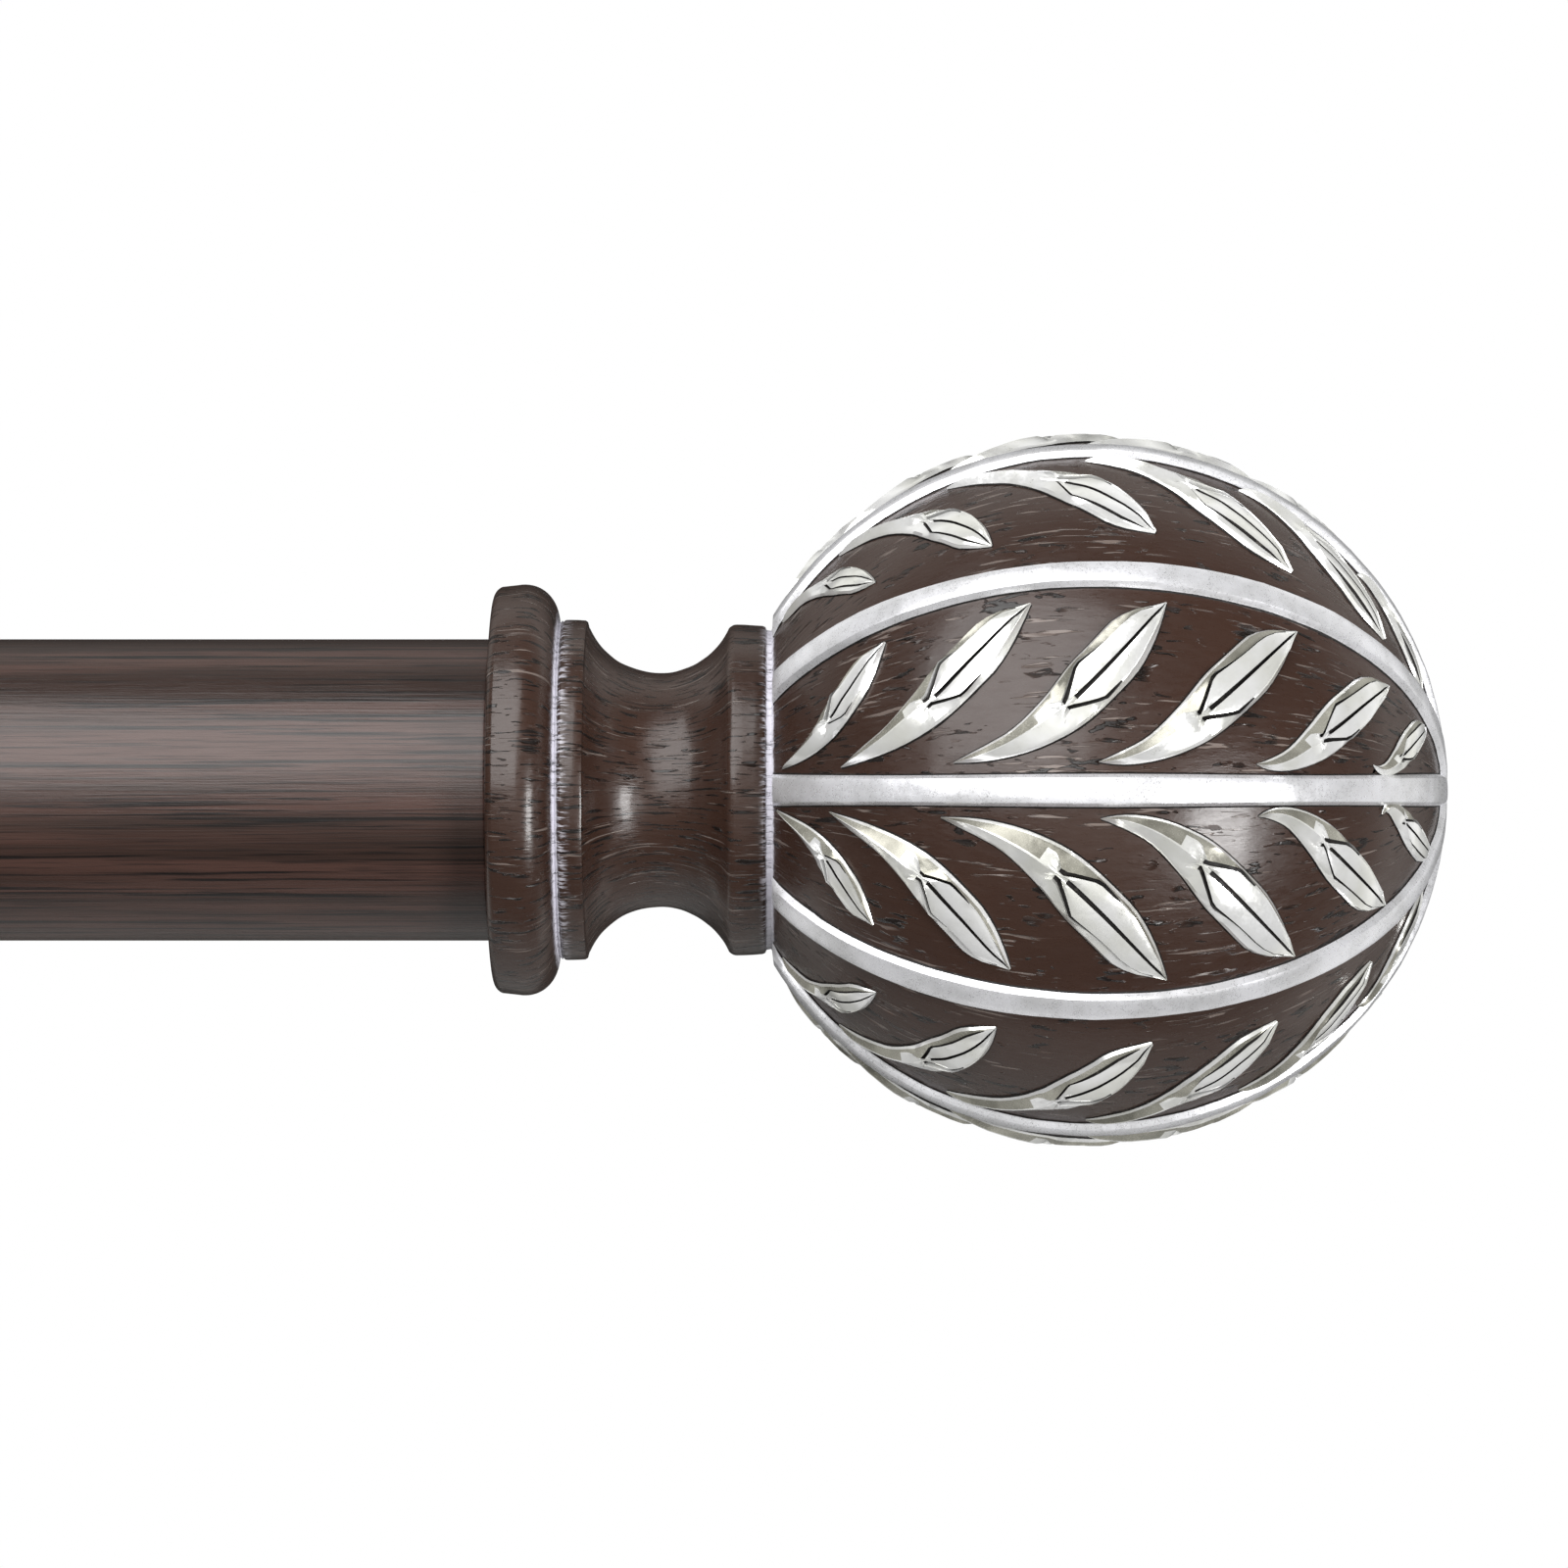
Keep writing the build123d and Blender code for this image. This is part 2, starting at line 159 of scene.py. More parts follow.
# A leaf's outline and section as (share of its length, mm). Side 1 faces away from the stem and
# side -1 towards it.
HALF_WIDTHS = {
    1: ((0, 0.05), (0.05, 0.42), (0.1, 0.75), (0.2, 1.15), (0.3, 1.4), (0.5, 2.45), (0.7, 3.5),
        (0.84, 3.5), (0.93, 2.3), (1, 0.08)),
    -1: ((0, 0.05), (0.05, 0.2), (0.1, 0.42), (0.2, 0.95), (0.4, 2.2), (0.52, 2.85), (0.75, 2.95),
         (0.87, 2.1), (0.95, 0.95), (1, 0.08)),
}
BEVEL_WIDTHS = {
    1: ((0, 0.45), (0.64, 0.55), (0.72, 1.0), (0.84, 1.35), (0.92, 0.85), (1, 0.1)),
    -1: ((0, 0.45), (0.64, 0.5), (0.85, 0.6), (0.95, 0.3), (1, 0.1)),
}
CUT_ENDS = {1: 0.96, -1: 0.72}
CUT_WIDTHS = ((0, 0.58), (0.58, 0.56), (0.67, 0.36), (0.73, 0.14), (1, 0.1))
MIDRIB_HALF_WIDTHS = ((0, 0.25), (0.62, 0.23), (0.95, 0.1), (1, 0.08))
RIDGE_HEIGHTS = ((0, 0.25), (0.06, 0.75), (0.2, 1.15), (0.45, 1.35), (1, 1.25))
RIM_HEIGHTS = ((0, 0.05), (0.15, 0.16), (0.9, 0.2), (1, 0.12))
LOBE_HEIGHTS = ((0, 0.72), (0.56, 0.72), (0.72, 1.12), (0.92, 1.05), (1, 0.6))

# ---- mesh helpers -------------------------------------------------------------------------


def curve_through(points, at):
    """Smooth curve through (x, y) points, read at the given places."""
    x = np.array([p[0] for p in points], float)
    y = np.array([p[1] for p in points], float)
    slope = np.gradient(y, x)
    slope[1:-1] = np.where(np.diff(y)[:-1] * np.diff(y)[1:] <= 0, 0, slope[1:-1])
    i = np.clip(np.searchsorted(x, at) - 1, 0, len(x) - 2)
    step = x[i + 1] - x[i]
    f = (np.clip(at, x[0], x[-1]) - x[i]) / step
    low = (1 + 2 * f) * (1 - f) ** 2 * y[i] + f * (1 - f) ** 2 * step * slope[i]
    high = f * f * (3 - 2 * f) * y[i + 1] + f * f * (f - 1) * step * slope[i + 1]
    return low + high


def smoothstep(low, high, value):
    f = np.clip((value - low) / (high - low), 0, 1)
    return f * f * (3 - 2 * f)


def arc(centre, radii, start, end, steps):
    """Points of an elliptical arc in the (height, radius) plane, degrees from the height axis."""
    angle = np.radians(np.linspace(start, end, steps + 1))
    return [(centre[0] + radii[0] * math.cos(a), centre[1] + radii[1] * math.sin(a)) for a in angle]


def line(start, end, steps):
    return [tuple(p) for p in np.linspace(start, end, steps + 1)]


def without_repeats(points):
    kept = [points[0]]
    for p in points[1:]:
        if math.dist(p, kept[-1]) > 1e-4:
            kept.append(p)
    return kept


def new_mesh(name, vertices, faces, finishes, face_slots=None):
    mesh = bpy.data.meshes.new(name)
    mesh.from_pydata([tuple(v) for v in vertices], [], faces)
    for finish in finishes:
        mesh.materials.append(finish)
    if face_slots is not None:
        mesh.polygons.foreach_set("material_index", face_slots)
    mesh.update()
    return mesh


def new_object(name, mesh):
    thing = bpy.data.objects.new(name, mesh)
    bpy.context.scene.collection.objects.link(thing)
    return thing


def shade(mesh, crease):
    mesh.shade_smooth()
    mesh.set_sharp_from_angle(angle=math.radians(crease))


def lathe_mesh(name, outline, segments, closed, finishes):
    """Solid turned about the X axis from (x, radius) points, in mm. A closed outline is a ring;
    an open one starts and ends on the axis."""
    angles = 2 * math.pi * np.arange(segments) / segments
    vertices = []
    starts = []
    for x, r in outline:
        starts.append(len(vertices))
        if r < 1e-6:
            vertices.append((x * MM, 0, 0))
        else:
            vertices += [(x * MM, -r * math.cos(a) * MM, r * math.sin(a) * MM) for a in angles]
    faces = []
    count = len(outline)
    for i in range(count if closed else count - 1):
        j = (i + 1) % count
        for k in range(segments):
            n = (k + 1) % segments
            a, b = starts[i] + k, starts[i] + n
            c, d = starts[j] + n, starts[j] + k
            if outline[i][1] < 1e-6:
                faces.append((starts[i], c, d))
            elif outline[j][1] < 1e-6:
                faces.append((a, b, starts[j]))
            else:
                faces.append((a, b, c, d))
    return new_mesh(name, vertices, faces, finishes)


# ---- finial -------------------------------------------------------------------------------


def finial_outline():
    """(x, radius) from the stud hole's bottom over the back, flange and neck to the ball's far end."""
    points = [(STUD_DEPTH, 0.0), (STUD_DEPTH, STUD_R), (0.0, STUD_R)]
    points += line((0.0, STUD_R + 2.0), (0.0, FLANGE_BACK_R), 3)
    for flange_round in FLANGE_ROUNDS:
        points += arc(*flange_round)

    groove = np.array((FIRST_GROOVE, FIRST_GROOVE_R))
    points += [tuple(groove + step) for step in ((-0.2, 0.2), (0.0, 0.0), (0.2, 0.25))]
    points += arc((FIRST_GROOVE + 0.8, FIRST_RING_R - 0.55), (0.5, 0.55), 160, 90, 3)
    first_ring = FIRST_GROOVE + 1.2
    first_edge = first_ring + 2.15
    points += line((first_ring, FIRST_RING_R), (first_edge - 0.25, FIRST_RING_R - 0.05), 2)
    for rise, drop in ((0.0, 0.2), (0.07, 0.5), (0.17, 0.9)):
        points.append((first_edge + rise, FIRST_RING_R - drop))

    cove_out, cove_r = COVE_CURVE
    points += arc((COVE_MIDDLE, cove_out), (cove_r, cove_r), 204.5, 335.5, 40)
    second_ring = COVE_MIDDLE + 9.35
    second_edge = BALL_START - 0.9
    points += [(second_ring - 0.35, SECOND_RING_R - 0.25), (second_ring, SECOND_RING_R - 0.05)]
    points += line((second_ring + 0.35, SECOND_RING_R), (second_edge - 0.35, SECOND_RING_R - 0.2), 3)
    points += [(second_edge, SECOND_RING_R - 0.35), (second_edge + 0.2, SECOND_RING_R - 0.7)]
    points += [(BALL_START - 0.12, RING_R - 0.45), (BALL_START + 0.1, RING_R)]
    ring_turn = math.degrees(math.acos(RING_R / BALL_R))
    for t in np.radians(np.linspace(0.8 - ring_turn, 90, 58)):
        points.append((BALL_CENTRE + BALL_HALF_LENGTH * math.sin(t), BALL_R * math.cos(t)))
    points[-1] = (points[-1][0], 0.0)
    return without_repeats(points)


def on_ball(along, around, relief):
    """Points over the ball, in mm, from degrees along it, degrees round it and height above it."""
    t = np.radians(along)
    a = np.radians(around)
    nx = -np.cos(t) / BALL_HALF_LENGTH
    nr = np.sin(t) / BALL_R
    length = np.hypot(nx, nr)
    x = BALL_CENTRE - BALL_HALF_LENGTH * np.cos(t) + relief * nx / length
    r = BALL_R * np.sin(t) + relief * nr / length
    return np.stack([x, -r * np.cos(a), r * np.sin(a)], -1)


def ribbon(grid, slots, underside):
    """Closed shell over a (rows, columns) grid of points: the grid on top, a strip underneath that
    joins its two long edges, and the ends closed."""
    rows, columns = grid.shape[:2]
    vertices = grid.reshape(-1, 3) * MM
    faces = []
    face_slots = []
    for i in range(rows - 1):
        for j in range(columns - 1):
            a = i * columns + j
            faces.append((a, a + 1, a + columns + 1, a + columns))
            face_slots.append(slots[i][j])
        first, last = i * columns, i * columns + columns - 1
        faces.append((last, first, first + columns, last + columns))
        face_slots.append(underside)
    faces.append(tuple(range(columns - 1, -1, -1)))
    faces.append(tuple(range((rows - 1) * columns, rows * columns)))
    face_slots += [underside, underside]
    return vertices, faces, face_slots


# The last slot is painted shade: a darker silver on one flank of each leaf.
BROWN, SILVER, GLAZE, RIB, SHADED_FLANK = range(5)


def rib(around):
    """One raised rib, from the second ring to the ball's far end. It swells and thins a little along
    its length, and starts rounded."""
    first = math.degrees(math.asin(RING_R / BALL_R)) + 0.3
    along = np.linspace(first, RIB_END, 68)
    edge, level = np.array(RIB_SECTION).T
    across = np.concatenate([-edge, [0], edge[::-1]])
    height = np.concatenate([level, [1], level[::-1]]) * RIB_RELIEF
    swell = 1 + 0.05 * np.sin(np.radians(along * 5 + around * 7))
    degrees = np.minimum(RIB_HALF_WIDTH * swell / (MM_PER_DEGREE * np.sin(np.radians(along))), 60)
    round_end = np.sqrt(np.clip((along - first) / RIB_ROUND_START, 0.03, 1))
    lift = np.where(height[None, :] > 0, height[None, :] * round_end[:, None], height[None, :])
    grid = on_ball(along[:, None], around + across[None, :] * degrees[:, None], lift)
    slot_row = [GLAZE if min(abs(a), abs(b)) > 0.99 else RIB for a, b in zip(across[:-1], across[1:])]
    return ribbon(grid, [slot_row] * (len(along) - 1), GLAZE)


def leaf_section(s, edge):
    """(offset, height) from a leaf's spine out past one edge, in mm, at the places s along it. The
    stalk is a plain ridge. The blade has a midrib groove, a lobe, a V cut, a sheath or bevel
    outside the cut, and a chamfered edge."""
    half = curve_through(HALF_WIDTHS[edge], s)
    rim = curve_through(RIM_HEIGHTS, s)
    lobe = curve_through(LOBE_HEIGHTS, s)
    rib_half = curve_through(MIDRIB_HALF_WIDTHS, s)
    cut_half = curve_through(CUT_WIDTHS, s) / 2
    chamfer = np.minimum(EDGE_CHAMFER, 0.3 * half)
    past = np.clip(s - STALK_SHARE, 0, 1) * LEAF_MODEL_LENGTH * 1.15
    cap = np.maximum(half - curve_through(BEVEL_WIDTHS[edge], s), 0.45 * half)
    opening = np.minimum(0.3 + ARM_SLOPE * past, cap)
    inner = np.maximum(opening - cut_half - CUT_WALL, 0.05 * half)
    outer = np.minimum(opening + cut_half, half - chamfer - CUT_WALL)
    groove = MIDRIB_DEPTH * smoothstep(0.56, 0.6, s) * (1 - smoothstep(0.95, 0.985, s))
    cut_opens = smoothstep(STALK_SHARE - 0.02, STALK_SHARE + 0.01, s)
    cut_closes = smoothstep(CUT_ENDS[edge] - 0.05, CUT_ENDS[edge] + 0.01, s)
    cut = CUT_DEPTH * cut_opens * (1 - cut_closes)
    sheath = SHEATH_HEIGHT - SHEATH_DROP * smoothstep(0.66, 0.8, s) * (edge > 0)
    inside_end = np.where(s < CUT_ENDS[edge], lobe, 0.94 * lobe)
    blade = [
        (np.zeros_like(s), lobe - groove),
        (np.minimum(rib_half, 0.3 * inner), lobe - groove),
        (np.minimum(rib_half + CUT_WALL, 0.5 * inner), lobe - 0.05),
        (0.62 * inner, lobe + 0.08),
        (inner, inside_end - 0.04),
        (np.maximum(opening - cut_half, inner), inside_end - cut),
        (outer, np.minimum(sheath, lobe) - cut),
        (outer + CUT_WALL, sheath - 0.02),
        (0.5 * (outer + CUT_WALL + half - chamfer), 0.5 * (sheath + rim + EDGE_CHAMFER_HEIGHT) - 0.05),
        (half - chamfer, rim + EDGE_CHAMFER_HEIGHT),
        (half, rim),
    ]
    stalk = 1 - smoothstep(STALK_SHARE - 0.06, STALK_SHARE + 0.01, s)
    ridge = curve_through(RIDGE_HEIGHTS, s)
    shoulder = rim + np.minimum(0.25, 0.3 * (ridge - rim))
    columns = []
    for n, (offset, height) in enumerate(blade):
        share = min(n / 9, 1)
        flank = (half - chamfer) * share if n < 10 else half
        slope = ridge + (shoulder - ridge) * share if n < 10 else rim
        columns.append((flank * stalk + offset * (1 - stalk), slope * stalk + height * (1 - stalk)))
    columns.append((half + OUTLINE_WIDTH, np.full_like(s, -0.04)))
    columns.append((half + OUTLINE_WIDTH + 0.05, np.full_like(s, -1.0)))
    return columns


def leaf_slot(place, edge, column, side):
    """Finish of the strip that starts at a column of leaf_section. Strips 0 and 1 are the midrib,
    4 and 5 the cut, 7 and 8 the bevel, 10 and 11 the dark outline. The flank that looks up on the
    front stem gets painted shade: a darker olive-grey silver for the light that falls less on it."""
    in_midrib = column <= 1 and 0.57 < place < 0.97
    in_cut = 4 <= column <= 5 and STALK_SHARE - 0.015 < place < CUT_ENDS[edge]
    if in_midrib or in_cut or column >= 10:
        return GLAZE
    # Painted shade: one flank of the stalk, then its bevel, gets the darker silver.
    first_shaded = 1 if place < SHADED_STALK else 7
    if edge == side and first_shaded <= column <= 8:
        return SHADED_FLANK
    return SILVER


def leaf(base, blade, tip, stem, side):
    """One leaf, bent through its base, blade start and tip, wrapped over the ball."""
    middle = math.radians((base[0] + tip[0]) / 2)
    span = (tip - base) * MM_PER_DEGREE * np.array([1, math.sin(middle)])
    size = float(np.hypot(*span)) / LEAF_MODEL_LENGTH
    rest = 1 - STALK_SHARE
    bend = (blade - base * rest**2 - tip * STALK_SHARE**2) / (2 * STALK_SHARE * rest)

    # The rows are closest together where the blade opens.
    rows = np.linspace(0.0, 1.0, 10 + round(20 * size))
    s = np.interp(rows, (0, 0.35, 0.75, 1), (0, STALK_SHARE - 0.06, STALK_SHARE + 0.2, 1))
    spine = np.outer((1 - s) ** 2, base) + np.outer(2 * s * (1 - s), bend) + np.outer(s**2, tip)
    run = np.outer(1 - s, bend - base) + np.outer(s, tip - bend)
    ring = np.sin(np.radians(spine[:, 0]))
    tangent = run * np.stack([np.ones_like(s), ring], -1)
    tangent /= np.hypot(tangent[:, 0], tangent[:, 1])[:, None]

    near, far = (leaf_section(s, edge) for edge in (-1, 1))
    columns = [(-offset, height) for offset, height in near[:0:-1]] + far
    offset = np.stack([c[0] for c in columns], 1) * size
    height = np.stack([c[1] for c in columns], 1)
    taper = 1 - 0.55 * smoothstep(0.92, 1.0, s)
    lift = np.where(height > 0, height * size**0.5 * taper[:, None], height)
    along = spine[:, :1] - offset * tangent[:, 1:] / MM_PER_DEGREE
    around = spine[:, 1:] + offset * tangent[:, :1] / (MM_PER_DEGREE * ring[:, None])
    grid = on_ball(along, stem + side * around, lift)

    centre = len(near) - 1
    slots = []
    for place in s[:-1]:
        row = [leaf_slot(place, -1, centre - 1 - j, side) for j in range(centre)]
        row += [leaf_slot(place, 1, j, side) for j in range(centre)]
        slots.append(row)
    if side < 0:
        grid = grid[:, ::-1]
        slots = [row[::-1] for row in slots]
    return ribbon(grid, slots, GLAZE)


def joined_mesh(name, shells, finishes):
    """One mesh holding several closed shells."""
    vertices = []
    faces = []
    slots = []
    for shell_vertices, shell_faces, shell_slots in shells:
        start = len(vertices)
        vertices += list(shell_vertices)
        faces += [tuple(start + v for v in f) for f in shell_faces]
        slots += shell_slots
    return new_mesh(name, vertices, faces, finishes, slots)


def united(body, others):
    """Boolean union of closed meshes, as one closed mesh."""
    for other in others:
        modifier = body.modifiers.new("union", "BOOLEAN")
        modifier.operation = "UNION"
        modifier.solver = "MANIFOLD"
        modifier.object = other
    graph = bpy.context.evaluated_depsgraph_get()
    mesh = bpy.data.meshes.new_from_object(body.evaluated_get(graph))
    body.modifiers.clear()
    for other in others:
        bpy.data.objects.remove(other)
    return mesh


def hand_cast(mesh, amount):
    """Moves the surface in and out a little, as on a piece cast from a hand-carved pattern."""
    co = np.empty(len(mesh.vertices) * 3)
    mesh.vertices.foreach_get("co", co)
    co = co.reshape(-1, 3)
    centre = Vector((BALL_CENTRE, 0, 0))
    for i, p in enumerate(co / MM):
        here = Vector(p)
        if here.x < HAND_CAST_START:
            continue
        shift = noise.noise(here / 5.0) + 0.6 * noise.noise(here / 1.9)
        if here.x > BALL_CENTRE - 40:
            out = here - centre
        else:
            out = Vector((0, here.y, here.z))
        co[i] += np.array(out.normalized()) * shift * amount * MM
    mesh.vertices.foreach_set("co", co.ravel())
    mesh.update()


def grain_map(mesh):
    """UV map in metres: round the axis, and along the outline."""
    outline = np.array(finial_outline())
    run = np.concatenate([[0], np.cumsum(np.hypot(*np.diff(outline, axis=0).T))])
    first = int(np.flatnonzero(outline[:, 0] <= 0)[-1])
    co = np.empty(len(mesh.vertices) * 3)
    mesh.vertices.foreach_get("co", co)
    co = co.reshape(-1, 3) / MM
    corner = np.empty(len(mesh.loops), int)
    mesh.loops.foreach_get("vertex_index", corner)
    face_start = np.empty(len(mesh.polygons), int)
    face_size = np.empty(len(mesh.polygons), int)
    mesh.polygons.foreach_get("loop_start", face_start)
    mesh.polygons.foreach_get("loop_total", face_size)
    turn = np.arctan2(co[:, 2], -co[:, 1])[corner]
    lead = np.repeat(turn[face_start], face_size)
    turn = turn - 2 * math.pi * np.round((turn - lead) / (2 * math.pi))
    along = np.interp(co[:, 0], outline[first:, 0], run[first:] - run[first])[corner]
    layer = mesh.uv_layers.new(name="grain")
    layer.data.foreach_set("uv", np.stack([turn * GRAIN_R, along * MM], -1).ravel())


def finial_mesh(finishes):
    turned = lathe_mesh("finial_body", finial_outline(), SEGMENTS, False, finishes)
    body = new_object("finial_body", turned)
    ribs = []
    for i in range(RIB_COUNT):
        ribs.append(new_object(f"rib_{i}", joined_mesh(f"rib_{i}", [rib(360 / RIB_COUNT * i)], finishes)))
    shells = []
    for spray in range(SPRAYS):
        for side in (-1, 1):
            for n, places in enumerate(LEAVES):
                base, blade, tip = np.array(places)
                stem = "front" if spray == 0 else "other"
                tip += TIP_SHIFTS.get((stem, side), UNMOVED)[n]
                if (stem, side) == ("front", -1):
                    base[0] += LOWER_BASE_SHIFTS[n]
                    blade[0] += LOWER_BASE_SHIFTS[n] / 2
                shells.append(leaf(base, blade, tip, 360 / SPRAYS * spray, side))
    leaves = new_object("leaves", joined_mesh("leaves", shells, finishes))
    mesh = united(body, ribs + [leaves])
    bpy.data.objects.remove(body)
    hand_cast(mesh, HAND_CAST_DEPTH)
    grain_map(mesh)
    shade(mesh, crease=38)
    return mesh


# ---- materials ----------------------------------------------------------------------------


class Nodes:
    """A material being drawn as a node tree."""

    def __init__(self, name):
        self.material = bpy.data.materials.new(name)
        self.material.use_nodes = True
        self.tree = self.material.node_tree
        self.shader = self.tree.nodes["Principled BSDF"]

    def add(self, kind, links=None, **settings):
        node = self.tree.nodes.new(kind)
        for key, value in settings.items():
            setattr(node, key, value)
        for socket, source in (links or {}).items():
            self.put(node, socket, source)
        return node

    def put(self, node, socket, source):
        if isinstance(source, bpy.types.NodeSocket):
            self.tree.links.new(source, node.inputs[socket])
        else:
            node.inputs[socket].default_value = source

    def set(self, **values):
        for key, value in values.items():
            self.put(self.shader, key.replace("_", " ").title().replace("Ior", "IOR"), value)

    def coordinates(self, scale, source="Object", shift=0.0):
        if source == "Object":
            place = self.add("ShaderNodeTexCoord").outputs["Object"]
        else:
            place = self.add("ShaderNodeUVMap", uv_map=source).outputs["UV"]
        links = {"Vector": place, "Scale": scale, "Location": (shift, shift, shift)}
        return self.add("ShaderNodeMapping", links).outputs["Vector"]

    def noise(self, vector, detail=4, roughness=0.55, distortion=0.0):
        links = {"Vector": vector, "Scale": 1.0, "Detail": detail, "Roughness": roughness}
        links["Distortion"] = distortion
        return self.add("ShaderNodeTexNoise", links).outputs["Fac"]

    def ramp(self, value, low, high, out_low=0.0, out_high=1.0):
        links = {"Value": value, "From Min": low, "From Max": high, "To Min": out_low, "To Max": out_high}
        node = self.add("ShaderNodeMapRange", links, interpolation_type="SMOOTHSTEP")
        return node.outputs["Result"]

    def math(self, operation, a, b=0.0):
        node = self.add("ShaderNodeMath", operation=operation)
        self.put(node, 0, a)
        self.put(node, 1, b)
        return node.outputs[0]

    def mix(self, factor, a, b):
        node = self.add("ShaderNodeMix", data_type="RGBA")
        self.put(node, 0, factor)
        self.put(node, 6, a)
        self.put(node, 7, b)
        return node.outputs[2]

    def bump(self, height, distance):
        links = {"Height": height, "Strength": 1.0, "Distance": distance}
        return self.add("ShaderNodeBump", links).outputs["Normal"]


def colour(red, green, blue):
    """A colour given as the eye sees it, 0 to 255, as the linear one shaders use."""
    channels = []
    for value in (red, green, blue):
        c = value / 255
        channels.append(c / 12.92 if c <= 0.04045 else ((c + 0.055) / 1.055) ** 2.4)
    return (*channels, 1.0)


def nicks(m, across, along, cover, shift, extra):
    """Short nicks cut along the grain, gathered in patches: 1 inside a nick. A higher cover leaves
    fewer of them, and extra widens the patches."""
    place = m.coordinates((across, along, 1), "grain", shift)
    fine = m.noise(place, detail=2, roughness=0.5, distortion=0.4)
    patch = m.noise(m.coordinates((across * 0.14, along * 0.4, 1), "grain", shift), detail=2)
    inside = m.ramp(m.math("ADD", patch, extra), 0.46, 0.56)
    return m.math("MULTIPLY", m.ramp(fine, cover, cover + 0.05), inside)


def wash(m, beyond, core, bleed):
    """Pale wash left in a groove, and in the pores as far as bleed mm beyond it along the axis."""
    wobble = m.noise(m.coordinates((900, 900, 900)), detail=4, roughness=0.7)
    distance = m.math("ABSOLUTE", beyond)
    ragged = m.math("ADD", distance, m.math("MULTIPLY", wobble, 0.5))
    in_groove = m.ramp(ragged, core + 0.15, core + 0.4, 1.0, 0.0)
    dashes = m.noise(m.coordinates((2200, 500, 1), "grain", 5.0), detail=3, roughness=0.6)
    reach = m.math("MULTIPLY", m.ramp(beyond, -0.3, 0.0), m.ramp(beyond, 0.1, bleed, 1.0, 0.0))
    seeped = m.math("MULTIPLY", m.math("MULTIPLY", m.ramp(dashes, 0.48, 0.62), reach), 0.85)
    return m.math("MAXIMUM", in_groove, seeped)


def brown_lacquer():
    m = Nodes("brown_lacquer")
    split = m.add("ShaderNodeSeparateXYZ", {"Vector": m.coordinates((1000, 1000, 1000))})
    x = split.outputs["X"]
    on_neck = m.ramp(x, BALL_START - 1, BALL_START + 1, 0.12, 0.0)
    dark_nicks = nicks(m, across=1500, along=230, cover=0.59, shift=0.0, extra=on_neck)
    # Pale streaks: raised scuffs whose light grey colour is partly a painted highlight.
    scuffs_and_glints = nicks(m, across=2900, along=150, cover=0.6, shift=3.7, extra=0.0)
    cloud = m.noise(m.coordinates((90, 60, 1), "grain"), detail=3)
    brush = m.noise(m.coordinates((1600, 300, 1), "grain"), detail=4, roughness=0.7)
    base = m.mix(cloud, colour(56, 38, 30), colour(48, 32, 26))
    base = m.mix(scuffs_and_glints, base, colour(106, 94, 88))
    base = m.mix(dark_nicks, base, colour(22, 16, 14))
    first_groove = wash(m, m.math("SUBTRACT", x, FIRST_GROOVE), core=0.28, bleed=2.1)
    last_groove = wash(m, m.math("SUBTRACT", BALL_START - 0.3, x), core=0.42, bleed=1.5)
    base = m.mix(m.math("MAXIMUM", first_groove, last_groove), base, colour(214, 212, 222))
    m.set(base_color=base, roughness=m.ramp(brush, 0.3, 0.75, 0.24, 0.38))
    m.set(specular_ior_level=0.42, coat_weight=0.18, coat_roughness=0.12)
    height = m.math("SUBTRACT", m.math("MULTIPLY", brush, 0.08), dark_nicks)
    height = m.math("ADD", height, m.math("MULTIPLY", scuffs_and_glints, 0.3))
    m.set(normal=m.bump(height, 0.0006))
    return m.material


def silver_leaf(name, tone, shade_tone, roughness, pit_cover):
    """Leafed silver over a cast surface. A higher pit_cover leaves fewer pits."""
    m = Nodes(name)
    cloud = m.noise(m.coordinates((150, 150, 150)), detail=3)
    dents = m.noise(m.coordinates((420, 420, 420)), detail=2, roughness=0.4)
    fine = m.noise(m.coordinates((2600, 2600, 2600)), detail=3, roughness=0.6)
    spots = m.add("ShaderNodeTexVoronoi", {"Vector": m.coordinates((1000, 1000, 1000))}, feature="F1")
    where = m.noise(m.coordinates((600, 600, 600)), detail=2)
    pit = m.ramp(spots.outputs["Distance"], 0.13, 0.19, 1.0, 0.0)
    pit = m.math("MULTIPLY", pit, m.ramp(where, pit_cover, pit_cover + 0.05))
    base = m.mix(m.ramp(cloud, 0.35, 0.7), tone, shade_tone)
    base = m.mix(pit, base, colour(44, 41, 39))
    m.set(base_color=base, metallic=m.ramp(pit, 0.0, 1.0, 0.52, 0.1))
    m.set(roughness=m.ramp(fine, 0.3, 0.7, roughness - 0.04, roughness + 0.06))
    height = m.math("ADD", m.math("MULTIPLY", dents, 0.45), m.math("MULTIPLY", fine, 0.02))
    m.set(normal=m.bump(m.math("SUBTRACT", height, pit), 0.0002))
    return m.material


def dark_glaze():
    m = Nodes("dark_glaze")
    worn = m.noise(m.coordinates((900, 900, 900)), detail=4, roughness=0.7)
    m.set(base_color=m.mix(m.ramp(worn, 0.58, 0.78), colour(24, 21, 20), colour(84, 80, 74)))
    m.set(roughness=m.ramp(worn, 0.3, 0.7, 0.45, 0.7), specular_ior_level=0.25)
    m.set(normal=m.bump(worn, 0.0001))
    return m.material


